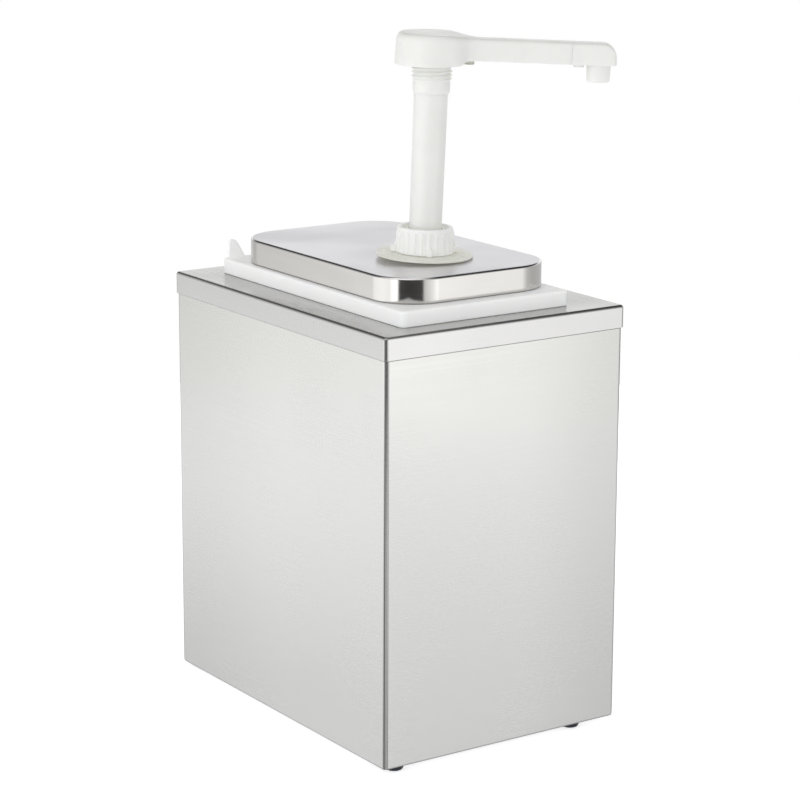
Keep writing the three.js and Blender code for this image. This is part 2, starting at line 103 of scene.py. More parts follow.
# ------------------------------------------------------------------ mesh helpers (all in mm)
def fillet(points, closed=False, k=6):
    """A polyline of (a, b, radius) with its corners rounded."""
    n, out = len(points), []
    for i, (x, y, rad) in enumerate(points):
        if rad <= 0 or (not closed and i in (0, n - 1)):
            out.append((x, y))
            continue
        p = np.array((x, y), float)
        a = np.array(points[(i - 1) % n][:2], float) - p
        b = np.array(points[(i + 1) % n][:2], float) - p
        la, lb = np.linalg.norm(a), np.linalg.norm(b)
        a, b = a / la, b / lb
        ang = math.acos(max(-1, min(1, float(a @ b))))
        if ang > math.pi - 1e-3:
            out.append((x, y))
            continue
        t = min(rad / math.tan(ang / 2), la * 0.49, lb * 0.49)
        rr = t * math.tan(ang / 2)
        c = p + (a + b) / np.linalg.norm(a + b) * (rr / math.sin(ang / 2))
        p0, p1 = p + a * t - c, p + b * t - c
        a0, a1 = math.atan2(p0[1], p0[0]), math.atan2(p1[1], p1[0])
        da = (a1 - a0 + math.pi) % (2 * math.pi) - math.pi
        for j in range(k + 1):
            t_ = a0 + da * j / k
            out.append((c[0] + rr * math.cos(t_), c[1] + rr * math.sin(t_)))
    return out


def rr(hx, hy, r, z, cx=0.0, cy=0.0, k=10):
    """A rounded rectangle ring."""
    r = max(r, 0.02)
    pts = []
    for sx, sy, a0 in ((1, 1, 0), (-1, 1, 90), (-1, -1, 180), (1, -1, 270)):
        for i in range(k + 1):
            a = math.radians(a0 + 90 * i / k)
            pts.append((cx + sx * (hx - r) + r * math.cos(a), cy + sy * (hy - r) + r * math.sin(a), z))
    return pts


def loft(rings, closed=False, cap=(True, True)):
    """Quads between rings of equal count."""
    n, m = len(rings[0]), len(rings)
    verts = [p for q in rings for p in q]
    faces = []
    for j in range(m if closed else m - 1):
        for i in range(n):
            a, b = j * n + i, j * n + (i + 1) % n
            c, d = ((j + 1) % m) * n + i, ((j + 1) % m) * n + (i + 1) % n
            faces.append((a, b, d, c))
    if not closed:
        if cap[0]:
            faces.append(tuple(range(n - 1, -1, -1)))
        if cap[1]:
            faces.append(tuple(range((m - 1) * n, m * n)))
    return verts, faces


def turned(profile, n=96, closed=False, wobble=None):
    """A profile of (r, z) turned about Z; ends on the axis unless closed."""
    rings = []
    for r, z in profile:
        rings.append([((r + (wobble(2 * math.pi * i / n, z) if wobble else 0)) * math.cos(2 * math.pi * i / n),
                       (r + (wobble(2 * math.pi * i / n, z) if wobble else 0)) * math.sin(2 * math.pi * i / n), z)
                      for i in range(n)])
    return loft(rings, closed, (False, False) if not closed and profile[0][0] < 1e-6 else (True, True))


def make(name, verts, faces, matrix=None, sharp=35.0):
    me = bpy.data.meshes.new(name)
    me.from_pydata([Vector(v) * MM for v in verts], [], faces)
    bm = bmesh.new()
    bm.from_mesh(me)
    bmesh.ops.remove_doubles(bm, verts=bm.verts, dist=1e-7)
    bmesh.ops.dissolve_degenerate(bm, edges=bm.edges, dist=1e-7)
    bmesh.ops.recalc_face_normals(bm, faces=bm.faces)
    bm.to_mesh(me)
    bm.free()
    ob = bpy.data.objects.new(name, me)
    scene.collection.objects.link(ob)
    if matrix is not None:
        ob.matrix_world = matrix
    finish_mesh(ob, sharp)
    return ob


def finish_mesh(ob, sharp=35.0):
    me = ob.data
    me.polygons.foreach_set("use_smooth", [True] * len(me.polygons))
    me.set_sharp_from_angle(angle=math.radians(sharp))
    me.update()


def weighted(ob):
    m = ob.modifiers.new("weighted_normals", "WEIGHTED_NORMAL")
    m.keep_sharp = True
    m.mode = "FACE_AREA"
    return ob


def combine(ob, others, op="UNION", sharp=35.0, keep=False):
    """Joins or cuts exact solids, with the result applied."""
    for t in others:
        m = ob.modifiers.new("b", "BOOLEAN")
        m.operation, m.object, m.solver = op, t, "EXACT"
        bpy.context.view_layer.update()
        dg = bpy.context.evaluated_depsgraph_get()
        me = bpy.data.meshes.new_from_object(ob.evaluated_get(dg))
        ob.modifiers.clear()
        ob.data = me
        if not keep:
            bpy.data.objects.remove(t)
    me = ob.data
    bm = bmesh.new()
    bm.from_mesh(me)
    bmesh.ops.remove_doubles(bm, verts=bm.verts, dist=2e-6)
    bmesh.ops.dissolve_degenerate(bm, edges=bm.edges, dist=1e-6)
    bm.to_mesh(me)
    bm.free()
    finish_mesh(ob, sharp)
    return ob


def dress(ob, body, material, slot, *nodes, flat=True):
    ob.data.materials.clear()
    ob.data.materials.append(material)
    if flat:
        weighted(ob)
    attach(ob, body)
    if nodes:
        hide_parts(*nodes)
    return ob


# ------------------------------------------------------------------ node helpers
class Tree:
    def __init__(self, tree):
        self.t = tree
        tree.nodes.clear()

    def node(self, kind, **kw):
        n = self.t.nodes.new(kind)
        for k, v in kw.items():
            if k.startswith("i_"):
                n.inputs[k[2:].replace("_", " ")].default_value = v
            else:
                setattr(n, k, v)
        return n

    def link(self, a, b):
        self.t.links.new(a, b)

    def math(self, op, a, b=None, c=None, clamp=False):
        n = self.t.nodes.new("ShaderNodeMath")
        n.operation, n.use_clamp = op, clamp
        for i, v in enumerate((a, b, c)):
            if v is None:
                continue
            if isinstance(v, (int, float)):
                n.inputs[i].default_value = v
            else:
                self.link(v, n.inputs[i])
        return n.outputs[0]

    def ramp(self, x, lo, hi, a=0.0, b=1.0, smooth=True):
        n = self.t.nodes.new("ShaderNodeMapRange")
        n.interpolation_type = "SMOOTHSTEP" if smooth else "LINEAR"
        self.link(x, n.inputs["Value"])
        for k, v in (("From Min", lo), ("From Max", hi), ("To Min", a), ("To Max", b)):
            n.inputs[k].default_value = v
        return n.outputs["Result"]

    def mix(self, f, a, b):
        """Mixes two colours (or two numbers given as 3-tuples)."""
        n = self.t.nodes.new("ShaderNodeMix")
        n.data_type = "RGBA"
        if isinstance(f, (int, float)):
            n.inputs[0].default_value = f
        else:
            self.link(f, n.inputs[0])
        for i, v in ((6, a), (7, b)):
            if isinstance(v, tuple):
                n.inputs[i].default_value = (*v, 1.0)[:4]
            else:
                self.link(v, n.inputs[i])
        return n.outputs[2]

    def noise(self, vec, scale, detail=4.0, rough=0.55, dist=0.0):
        n = self.t.nodes.new("ShaderNodeTexNoise")
        self.link(vec, n.inputs["Vector"])
        n.inputs["Scale"].default_value = scale
        n.inputs["Detail"].default_value = detail
        n.inputs["Roughness"].default_value = rough
        n.inputs["Distortion"].default_value = dist
        return n.outputs["Fac"]

    def scaled(self, vec, s, offset=(0, 0, 0)):
        n = self.t.nodes.new("ShaderNodeMapping")
        self.link(vec, n.inputs["Vector"])
        n.inputs["Scale"].default_value = s
        n.inputs["Location"].default_value = offset
        return n.outputs["Vector"]

    def bump(self, height, strength, distance, normal=None):
        n = self.t.nodes.new("ShaderNodeBump")
        n.inputs["Strength"].default_value = strength
        n.inputs["Distance"].default_value = distance
        self.link(height, n.inputs["Height"])
        if normal is not None:
            self.link(normal, n.inputs["Normal"])
        return n.outputs["Normal"]


def new_material(name):
    m = bpy.data.materials.new(name)
    m.use_nodes = True
    t = Tree(m.node_tree)
    out = t.node("ShaderNodeOutputMaterial")
    b = t.node("ShaderNodeBsdfPrincipled")
    t.link(b.outputs[0], out.inputs["Surface"])
    co = t.node("ShaderNodeTexCoord")
    return m, t, b, co


def steel(name, tint, rough, grain, grain_top=None, brush=0.5, spread=0.10, polish=None, painted_fold_shade=0.0, seed=0.0, wear=0.15, wave=0.03, painted_top_shade=1.0, vary=1.0, painted_wall_shade=None, ends=1.0, painted_sheen_falloff=None, streaks=5.0):
    """Brushed sheet steel. grain stretches the brushing on upright faces, grain_top on level ones."""
    m, t, b, co = new_material(name)
    b.inputs["Metallic"].default_value = 1.0
    P = co.outputs["Object"]
    fine = t.noise(t.scaled(P, grain, (seed, seed, seed)), 1.0, streaks, 0.6)
    broad = t.noise(t.scaled(P, (9, 9, 34), (seed, 3, 1)), 1.0, 3.0, 0.5, 0.6)
    if grain_top is not None:
        sep = t.node("ShaderNodeSeparateXYZ")
        t.link(co.outputs["Normal"], sep.inputs[0])
        level = t.ramp(t.math("ABSOLUTE", sep.outputs["Z"]), 0.55, 0.8)
        top = t.noise(t.scaled(P, grain_top, (seed, 2, 5)), 1.0, 5.0, 0.65)
        fine = t.math("ADD", t.math("MULTIPLY", fine, t.math("SUBTRACT", 1.0, level)), t.math("MULTIPLY", top, level))
    smear = t.noise(P, 14.0, 2.0, 0.5)
    dark = tuple(c * (1.0 - spread) for c in tint)
    lite = tuple(min(1.0, c * (1.0 + spread * 0.6)) for c in tint)
    col = t.mix(t.ramp(fine, 0.3, 0.7), dark, lite)
    col = t.mix(t.ramp(broad, 0.35, 0.7, 0.0, 0.25), col, tuple(c * 0.95 for c in tint))
    # painted shade: level faces get a darker base colour than upright ones, standing in for the brushed top catching
    # less light
    if grain_top is not None and painted_top_shade != 1.0:
        col = t.mix(level, col, t.mix(0.85, col, tuple(c * painted_top_shade for c in tint)))
    if painted_sheen_falloff:                                  # painted sheen: the base colour is lighter at one side of the sheet and darker at the other, a sheen falling off slowly across its width
        dx = t.node("ShaderNodeSeparateXYZ")
        t.link(P, dx.inputs[0])
        fall = t.math("MAXIMUM", t.ramp(dx.outputs["X"], painted_sheen_falloff[0], painted_sheen_falloff[1]), t.ramp(dx.outputs["Y"], painted_sheen_falloff[4], painted_sheen_falloff[5], 0.0, painted_sheen_falloff[6]))
        col = t.mix(fall, t.mix(0.9, col, tuple(c * painted_sheen_falloff[2] for c in tint)), t.mix(0.9, col, tuple(c * painted_sheen_falloff[3] for c in tint)))
    if ends != 1.0:                            # painted shade: the long skirts get a darker base colour than the short ones, as if they catch less light
        ex = t.node("ShaderNodeSeparateXYZ")
        t.link(co.outputs["Normal"], ex.inputs[0])
        col = t.mix(t.ramp(t.math("ABSOLUTE", ex.outputs["X"]), 0.6, 0.9), col, t.mix(0.9, col, tuple(c * ends for c in tint)))
    if painted_wall_shade is not None:                       # painted shade: the polished drawn walls get a darker, warmer base colour than the brushed top
        sw = t.node("ShaderNodeSeparateXYZ")
        t.link(co.outputs["Normal"], sw.inputs[0])
        col = t.mix(t.ramp(sw.outputs["Z"], 0.2, 0.9, 1.0, 0.0), col, t.mix(t.ramp(broad, 0.3, 0.7), painted_wall_shade, tuple(c * 0.93 for c in painted_wall_shade)))
    # painted reflection and painted shadow: marked folds and edges darken towards a tenth of the tint
    if painted_fold_shade:
        at = t.node("ShaderNodeAttribute", attribute_name="painted_fold_shade")
        col = t.mix(t.math("MULTIPLY", at.outputs["Fac"], painted_fold_shade), col, tuple(c * 0.10 for c in tint))
        fine = t.math("ADD", t.math("MULTIPLY", fine, t.math("SUBTRACT", 1.0, at.outputs["Fac"])), t.math("MULTIPLY", at.outputs["Fac"], 0.5))
    if wear:
        geo = t.node("ShaderNodeNewGeometry")
        edge = t.ramp(geo.outputs["Pointiness"], 0.53, 0.60, 0.0, wear)
        col = t.mix(edge, col, tuple(min(1.0, c * 1.22) for c in tint))
    t.link(col, b.inputs["Base Color"])
    r = t.math("ADD", t.ramp(fine, 0.25, 0.75, rough - 0.05 * vary, rough + 0.06 * vary), t.ramp(smear, 0.35, 0.7, -0.02, 0.035))
    if polish is not None:
        sep2 = t.node("ShaderNodeSeparateXYZ")
        t.link(co.outputs["Normal"], sep2.inputs[0])
        up = t.ramp(sep2.outputs["Z"], 0.90, 0.995)
        p = t.ramp(fine, 0.25, 0.75, polish - 0.02, polish + 0.03)
        r = t.math("ADD", t.math("MULTIPLY", r, up), t.math("MULTIPLY", p, t.math("SUBTRACT", 1.0, up)))
    t.link(r, b.inputs["Roughness"])
    n = t.bump(fine, brush, 0.00003)
    n = t.bump(broad, wave, 0.0002, n)
    t.link(n, b.inputs["Normal"])
    return m


def plastic(name, tint, shade, rough=0.36, sss=0.25, radius=0.004, peel=0.10, seed=0.0, lines=None, painted_glow=0.0, painted_shade_below=None):
    """Moulded polyolefin: soft gloss, a faint orange peel, slightly uneven colour."""
    m, t, b, co = new_material(name)
    P = co.outputs["Object"]
    cloud = t.noise(t.scaled(P, (1, 1, 1), (seed, seed, seed)), 42.0, 4.0, 0.6)
    fleck = t.noise(P, 900.0, 2.0, 0.5)
    col = t.mix(t.ramp(cloud, 0.35, 0.72), tint, shade)
    geo = t.node("ShaderNodeNewGeometry")
    # painted shade: hollows and creases, found by low pointiness, get a darker colour
    painted_crease_shade = t.ramp(geo.outputs["Pointiness"], 0.42, 0.50, 0.55, 0.0)
    col = t.mix(painted_crease_shade, col, tuple(c * 0.86 for c in shade))
    col = t.mix(t.ramp(fleck, 0.62, 0.8, 0.0, 0.10), col, tuple(c * 0.9 for c in shade))
    # painted shade: points marked by this attribute get a dark greenish colour
    at = t.node("ShaderNodeAttribute", attribute_name="painted_boss_shade")
    col = t.mix(at.outputs["Fac"], col, (0.42, 0.44, 0.36))
    if painted_shade_below:                                   # painted shade: below a height the colour turns greyer and cooler and the painted glow stops, standing in for the thinner wall letting more light through
        pz = t.node("ShaderNodeSeparateXYZ")
        t.link(P, pz.inputs[0])
        above_shade_line = t.ramp(pz.outputs["Z"], painted_shade_below[0], painted_shade_below[0] + 0.004)
        shaded_colour = t.mix(t.ramp(cloud, 0.35, 0.72), painted_shade_below[1], tuple(c * 0.965 for c in painted_shade_below[1]))
        col = t.mix(above_shade_line, shaded_colour, col)
    t.link(col, b.inputs["Base Color"])
    b.inputs["Subsurface Weight"].default_value = sss
    b.inputs["Subsurface Radius"].default_value = (1.0, 0.92, 0.75)
    b.inputs["Subsurface Scale"].default_value = radius
    b.inputs["IOR"].default_value = 1.49
    if painted_glow:                                # painted light: a small even emission standing in for light leaking through thin translucent walls
        b.inputs["Emission Color"].default_value = (1.0, 1.0, 1.0, 1)
        b.inputs["Emission Strength"].default_value = painted_glow
        if painted_shade_below:
            t.link(t.math("MULTIPLY", above_shade_line, painted_glow), b.inputs["Emission Strength"])
    r = t.math("ADD", t.ramp(cloud, 0.3, 0.7, rough - 0.04, rough + 0.05), t.ramp(fleck, 0.3, 0.8, -0.02, 0.04))
    t.link(r, b.inputs["Roughness"])
    skin = t.noise(P, 1500.0, 2.0, 0.5)
    n = t.bump(skin, peel, 0.00005)
    if lines:
        n = t.bump(t.noise(t.scaled(P, lines), 1.0, 2.0, 0.5), 0.15, 0.0001, n)
    t.link(n, b.inputs["Normal"])
    return m


def rubber(name, tint, lite, rough=0.55):
    m, t, b, co = new_material(name)
    P = co.outputs["Object"]
    g = t.noise(P, 700.0, 4.0, 0.6)
    dust = t.noise(P, 160.0, 3.0, 0.6)
    t.link(t.mix(t.ramp(dust, 0.45, 0.75, 0.0, 0.5), tint, lite), b.inputs["Base Color"])
    t.link(t.ramp(g, 0.3, 0.7, rough - 0.08, rough + 0.12), b.inputs["Roughness"])
    t.link(t.bump(g, 0.3, 0.00008), b.inputs["Normal"])
    return m


# ------------------------------------------------------------------ materials
# painted sheen and shade in the steels: HOUSING's sheen falloff, COVER's darker top and long skirts, LIDM's darker
# walls; painted light in the plastics' glow
HOUSING = steel("brushed_steel_housing", (0.633, 0.631, 0.607), 0.25, (6, 6, 1500), None, 0.055, 0.028, painted_fold_shade=0.95, seed=1.0, vary=0.6, painted_sheen_falloff=(0.0, 0.085, 1.055, 0.92, -0.02, 0.114, 0.8), streaks=3.0)
COVER = steel("brushed_steel_cover", (0.645, 0.642, 0.630), 0.24, (6, 6, 1500), (900, 6, 6), 0.045, 0.022, painted_fold_shade=0.92, seed=4.0, painted_top_shade=0.77, vary=0.6, ends=0.88, streaks=3.0)
LIDM = steel("lid_steel", (0.785, 0.777, 0.80), 0.32, (5, 5, 500), (6, 1400, 6), 0.035, 0.016, polish=0.13, painted_fold_shade=0.83, seed=7.0, wave=0.012, vary=0.5, painted_wall_shade=(0.64, 0.624, 0.603))
PLATE = steel("mill_steel", (0.60, 0.60, 0.59), 0.36, (300, 6, 6), (6, 500, 6), 0.4, 0.10, seed=9.0)
BOLT = steel("plated_steel", (0.60, 0.60, 0.61), 0.30, (900, 900, 900), None, 0.25, 0.12, seed=11.0)
SPRING = steel("spring_wire", (0.66, 0.66, 0.67), 0.22, (1500, 1500, 500), None, 0.25, 0.12, seed=13.0)
JARM = plastic("jar_polyethylene", (0.97, 0.97, 0.965), (0.95, 0.952, 0.95), 0.42, 0.25, 0.0025, 0.10, 2.0, painted_glow=0.125, painted_shade_below=(0.2515, (0.875, 0.888, 0.882)))
WHITE = plastic("white_polypropylene", (0.90, 0.90, 0.874), (0.865, 0.87, 0.832), 0.33, 0.30, 0.002, 0.08, 5.0)
CLOSURE = plastic("closure_polypropylene", (0.955, 0.955, 0.935), (0.925, 0.93, 0.90), 0.34, 0.25, 0.002, 0.08, 6.0, painted_glow=0.06)
NATURAL = plastic("natural_polypropylene", (0.83, 0.83, 0.74), (0.76, 0.765, 0.65), 0.34, 0.40, 0.005, 0.10, 8.0, painted_glow=0.05)
SEAL = plastic("silicone_seal", (0.70, 0.69, 0.62), (0.62, 0.61, 0.54), 0.55, 0.30, 0.003, 0.20, 3.0)
FOOT = rubber("foot_rubber", (0.013, 0.014, 0.026), (0.03, 0.03, 0.045))


def paint_fold_shade(ob, test):
    """A per-point mask of painted reflection and shadow, 1 in the middle of a fold and 0 on flat sheet."""
    at = ob.data.attributes.new("painted_fold_shade", "FLOAT", "POINT")
    at.data.foreach_set("value", [test(v.co / MM) for v in ob.data.vertices])


# ------------------------------------------------------------------ housing
BEND = 2.5
prof = fillet([(0.9, 5.2, 0), (0.9, FOOT_H + 0.1, 0), (0.62, FOOT_H, 0.15), (0.26, FOOT_H + 0.28, 0.5), (0, FOOT_H + 1.3, 1.0), (0, SEAM - 0.25, 0.25), (1.45, SEAM - 0.25, 0), (1.45, 252.3, 0), (2.25, 252.3, 0), (2.25, SEAM - 1.1, 0), (0.8, SEAM - 1.1, 0), (0.8, 5.0, 0)], k=6)
rings = [rr(HX - d, HY - d, max(BEND - d, 0.3) if d > 0.95 else max(BEND - d, 0.9), z, OX, 0, 16) for d, z in prof]
housing = make("housing_shell", *loft(rings, True))


def corner_bend(v, hx, hy, r, cx):
    ax, ay = abs(v.x - cx) - (hx - r), abs(v.y) - (hy - r)
    if ax <= 0 or ay <= 0:
        return 0.0
    t = math.atan2(ay, ax) / (math.pi / 2)
    t = t if v.x * v.y > 0 else 1.0 - t
    low = max(0.0, min(1.0, (200.0 - v.z) / 150.0))     # the painted fold shade grows darker and wider towards the table
    inside = max(0.0, min(1.0, t / 0.06, (1.0 - t) / 0.06))     # none of it on the flat walls
    return inside * max(math.exp(-((t - 0.40) / (0.15 + 0.05 * low)) ** 2), (0.55 + 0.15 * low) * math.exp(-((t - 0.68) / 0.14) ** 2),
               (0.75 + 0.25 * low) * math.exp(-((t - 0.93) / (0.06 + 0.02 * low)) ** 2))


# painted shade along the bottom hem as well as in the corner folds
paint_fold_shade(housing, lambda v: max(corner_bend(v, HX, HY, BEND, OX), 0.9 * max(0.0, min(1.0, (FOOT_H + 1.0 - v.z) / 0.8))))
dress(housing, "housing", HOUSING, "housing_steel", "housing_sleeve")

CX_, CY_ = HX + PROUD, HY + PROUD
CB = 1.7
outer = fillet([(0.8, 245.0, 0), (0.8, SEAM, 0.15), (0, SEAM, 0.25), (0, COVER_TOP, CB), (8, COVER_TOP, 0)], k=8)
rings = [rr(CX_ - d, CY_ - d, max(2.1 - d, 0.5), z, OX, 0, 16) for d, z in outer]
lip = fillet([(8, COVER_TOP, 0), (0, COVER_TOP, 1.1), (0, COVER_TOP - 6, 0.3), (0.8, COVER_TOP - 6, 0.3), (0.8, COVER_TOP - 0.8, 0.6), (8, COVER_TOP - 0.8, 0)], k=6)
rings += [rr(CUT_HX + e, CUT_HY + e, CUT_R + e, z, OX, 0, 16) for e, z in lip]
rings += [rr(CX_ - d, CY_ - d, max(2.1 - d, 0.5), z, OX, 0, 16) for d, z in [(8, COVER_TOP - 0.8), (1.9, COVER_TOP - 0.8), (1.1, COVER_TOP - 1.2), (0.8, COVER_TOP - 2.0)]]
cover = make("cover_shell", *loft(rings, True))


# painted reflection along the top fold, darker on the X sides, and in the corner folds
def cover_bend(v):
    top = 0.0
    dz = v.z - (COVER_TOP - CB)
    dx = max(abs(v.x - OX) - (CX_ - CB), abs(v.y) - (CY_ - CB))
    if dz > 0 and dx > 0:
        top = (0.55 if abs(v.x - OX) - CX_ > abs(v.y) - CY_ else 0.26) * math.sin(2 * math.atan2(dz, dx)) ** 0.7
    fold = corner_bend(v, CX_, CY_, 2.1, OX)
    if fold > 0 and dz > 0.3:
        return max(0.6, top)
    return max(top, fold)


paint_fold_shade(cover, cover_bend)
dress(cover, "housing", COVER, "cover_steel", "top_cover")

# ------------------------------------------------------------------ feet
for key in ("front_left", "front_right", "back_left", "back_right"):
    lo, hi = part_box("foot_" + key)
    fx, fy = (lo.x + hi.x) / 2 / MM, (lo.y + hi.y) / 2 / MM
    p = fillet([(3.1, 0, 0.15), (4.6, 0, 1.3), (5.4, 1.2, 1.2), (5.6, 3.3, 0.2), (2.3, 3.3, 0.1), (2.3, 1.7, 0), (3.1, 1.7, 0)], True, 5)
    foot = make("rubber_foot_" + key, *turned(p, 56, True), matrix=Matrix.Translation(Vector((fx, fy, 0)) * MM))
    dress(foot, "housing", FOOT, "foot_rubber", "foot_" + key)

# ------------------------------------------------------------------ jar
inner = []


def jr(hx, hy, r, z, k=12):
    return rr(hx, hy, r, z, JX, JY, k)


RB = 253.6
jar_rings = []
for hx, hy, r, z in [(34, 74, 11, 22.6), (36.6, 76.6, 12.6, 22.0), (38.4, 78.4, 14.2, 22.1), (40.2, 80.2, 15.8, 22.9), (41.2, 81.2, 16.8, 24.4),
                     (41.5, 81.5, 17, 27.0), (44, 84, 18.4, 130), (46.6, 86.2, 19.8, 246), (47.2, 86.7, 20.2, 254.5), (48.4, 87.6, 20.8, 257.6),
                     (50.6, 89.4, 21.5, 259.6), (53.0, 91.5, 21.5, 260.3)]:
    jar_rings.append(jr(hx, hy, r, z))
under = fillet([(56.0, 260.3, 0), (56.0, RB, 0.3), (58.0, RB, 0.45), (58.0, RIM_TOP, 2.1), (55.0, RIM_TOP, 0)], k=8)
for hx, z in under:
    d = 58.0 - hx
    jar_rings.append(jr(58.0 - d, 97.5 - d, max(3.7 - d, 0.6), z))
lipr = fillet([(55.0, RIM_TOP, 0), (52.4, RIM_TOP, 0.6), (52.4, 271.3, 0.8), (50.4, 271.3, 0.8), (50.4, 262.0, 0)], k=5)
for hx, z in lipr[1:]:
    d = 52.4 - hx
    jar_rings.append(jr(hx, 87.4 - d, 26 - d, z))
for hx, hy, r, z in [(50.2, 85.2, 23.8, 260.4), (48.6, 84.9, 22, 258.0), (45.6, 84.6, 19, 254.6), (44.8, 84.2, 18.2, 246), (42.2, 82.0, 16.8, 130), (39.8, 79.8, 15.6, 28.4),
                     (39.0, 79.0, 14.8, 26.0), (37.6, 77.6, 13.6, 24.9), (35.8, 75.8, 12.0, 24.6), (33, 73, 10.5, 25.0)]:
    jar_rings.append(jr(hx, hy, r, z))
jar = make("jar_body", *loft(jar_rings))
# the lift tab: a rounded fin on the back edge
to = fillet([(-58.3, -1.8, 0), (-57.9, 10.9, 3.0), (-52.7, 11.0, 4.6), (-48.6, 3.6, 6.0), (-46.4, -0.1, 2.4), (-42.6, -0.4, 0), (-42.6, -1.8, 0)], k=10)
tab_prof = [(0.75, 0.0), (0.42, 0.09), (0.18, 0.28), (0.04, 0.55), (0.0, 0.8)]
ty0, ty1 = JY + RIM_HY - 2.95, JY + RIM_HY - 0.85


def inset(poly, d):
    """Moves a closed outline inwards by d."""
    n, out = len(poly), []
    area = sum(poly[i][0] * poly[(i + 1) % n][1] - poly[(i + 1) % n][0] * poly[i][1] for i in range(n))
    s = 1.0 if area > 0 else -1.0
    for i in range(n):
        p, a, b = (np.array(poly[j % n], float) for j in (i, i - 1, i + 1))
        t1, t2 = p - a, b - p
        t1, t2 = t1 / (np.linalg.norm(t1) + 1e-12), t2 / (np.linalg.norm(t2) + 1e-12)
        nrm = np.array((-(t1[1] + t2[1]), t1[0] + t2[0]))
        nrm = nrm / (np.linalg.norm(nrm) + 1e-12)
        out.append(tuple(p + s * nrm * d))
    return out


tab_rings = []
for d, e in tab_prof:
    tab_rings.append([(OX + x, ty0 + e, RIM_TOP + h) for x, h in inset(to, d)])
for d, e in reversed(tab_prof):
    tab_rings.append([(OX + x, ty1 - e, RIM_TOP + h) for x, h in inset(to, d)])
tab = make("tab_blank", *loft(tab_rings))
combine(jar, [tab], "UNION", 40)
dress(jar, "jar", JARM, "jar_plastic", "jar")

# ------------------------------------------------------------------ lid
LB = 1.35
hole = 16.6
hcx, hcy = PUMP[0], PUMP[1]


def lr(d, z, k=16):
    return rr(LID_HX - d, LID_HY - d, LID_R - d, z, LX, LY, k)


def hole_ring(ref, r, z):
    return [(hcx + r * math.cos(math.atan2(p[1] - hcy, p[0] - hcx)), hcy + r * math.sin(math.atan2(p[1] - hcy, p[0] - hcx)), z) for p in ref]


lp = fillet([(0.8, LID_TOP - 8, 0), (0.8, RIM_TOP + 0.15, 0.2), (0, RIM_TOP + 0.15, 0.25), (0, RIM_TOP + 0.5, 0), (0, RIM_TOP + 0.95, 0), (0, LID_TOP, LB), (6, LID_TOP, 0)], k=10)
lid_rings = [lr(d, z) for d, z in lp]
ref = lr(6, LID_TOP)
for q in (0.35, 0.7):
    lid_rings.append([tuple(np.array(a) * (1 - q) + np.array(b) * q) for a, b in zip(ref, hole_ring(ref, hole + 0.4, LID_TOP))])
lid_rings += [hole_ring(ref, hole + 0.4, LID_TOP), hole_ring(ref, hole, LID_TOP - 0.3), hole_ring(ref, hole, LID_TOP - 0.8)]
for q in (0.7, 0.35):
    lid_rings.append([tuple(np.array(a) * (1 - q) + np.array(b) * q) for a, b in zip(lr(6, LID_TOP - 0.8), hole_ring(ref, hole, LID_TOP - 0.8))])
lid_rings += [lr(6, LID_TOP - 0.8), lr(2.7, LID_TOP - 0.8), lr(1.5, LID_TOP - 1.3), lr(0.9, LID_TOP - 2.4)]
lid = make("lid_pressing", *loft(lid_rings, True))


def lid_bend(v):
    """Painted reflection: darkest along the top fold's straight runs, fading towards the middle of each corner; a
    painted shadow line along the wall's bottom edge.
    """
    dz = v.z - (LID_TOP - LB)
    if v.z < RIM_TOP + 0.6:
        return 0.8
    ax, ay = abs(v.x - LX) - (LID_HX - LID_R), abs(v.y - LY) - (LID_HY - LID_R)
    if ax > 0 and ay > 0:
        d = LID_R - math.hypot(ax, ay)
        straight = abs(math.cos(2 * math.atan2(ay, ax))) ** 3
    else:
        d = min(LID_HX - abs(v.x - LX), LID_HY - abs(v.y - LY))
        straight = 1.0
    if dz <= 0 or d > LB:
        return 0.0
    return straight * math.sin(2 * math.atan2(dz, LB - d)) ** 0.8


paint_fold_shade(lid, lid_bend)
dress(lid, "lid_assembly", LIDM, "lid_steel", "lid")

# ------------------------------------------------------------------ pump, in its own frame
PB = "lid_assembly"
p = fillet([(13.2, -14, 0.2), (14.3, -14, 0.3), (14.3, 1.35, 0.2), (28.1, 1.35, 0.25), (28.5, 2.0, 0.4), (28.1, 2.6, 0.3), (24.3, 2.6, 0.25), (23.9, 3.0, 0.25), (14.0, 3.0, 0), (14.0, 13.0, 0.3), (13.2, 13.0, 0.2)], True, 5)


def thread(base, depth, pitch, z0, z1, z):
    def f(a, s):
        if s < z0 or s > z1:
            return 0.0
        ph = ((s - z0) / pitch - a / (2 * math.pi)) % 1.0
        fade = min(1.0, (s - z0) / (0.6 * pitch), (z1 - s) / (0.6 * pitch))
        return depth * (0.5 + 0.5 * math.cos(min(1.0, abs(ph - 0.5) / 0.36) * math.pi)) * max(0.0, fade)
    return f


def dense(profile, z0, z1, step):
    """Adds points along the upright stretches of a profile between two heights."""
    out = [profile[0]]
    for a, b in zip(profile, profile[1:]):
        if abs(b[0] - a[0]) < 0.6 and abs(b[1] - a[1]) > step and min(a[1], b[1]) < z1 and max(a[1], b[1]) > z0:
            n = int(abs(b[1] - a[1]) / step)
            out += [(a[0] + (b[0] - a[0]) * i / n, a[1] + (b[1] - a[1]) * i / n) for i in range(1, n)]
        out.append(b)
    return out


low = thread(14.3, 0.75, 3.0, -12.6, -3.4, None)
flange = make("pump_flange", *turned(dense(p, -13.5, -2, 0.3), 112, True, lambda a, s: 0.0), matrix=M_PUMP)
dress(flange, PB, NATURAL, "natural_plastic", "mounting_flange")

# closure nut with 24 ribs, a rolled top and four base lugs
N = 384
LUGS = [math.radians(a) for a in (-81.5, 8.5, 98.5, 188.5)]


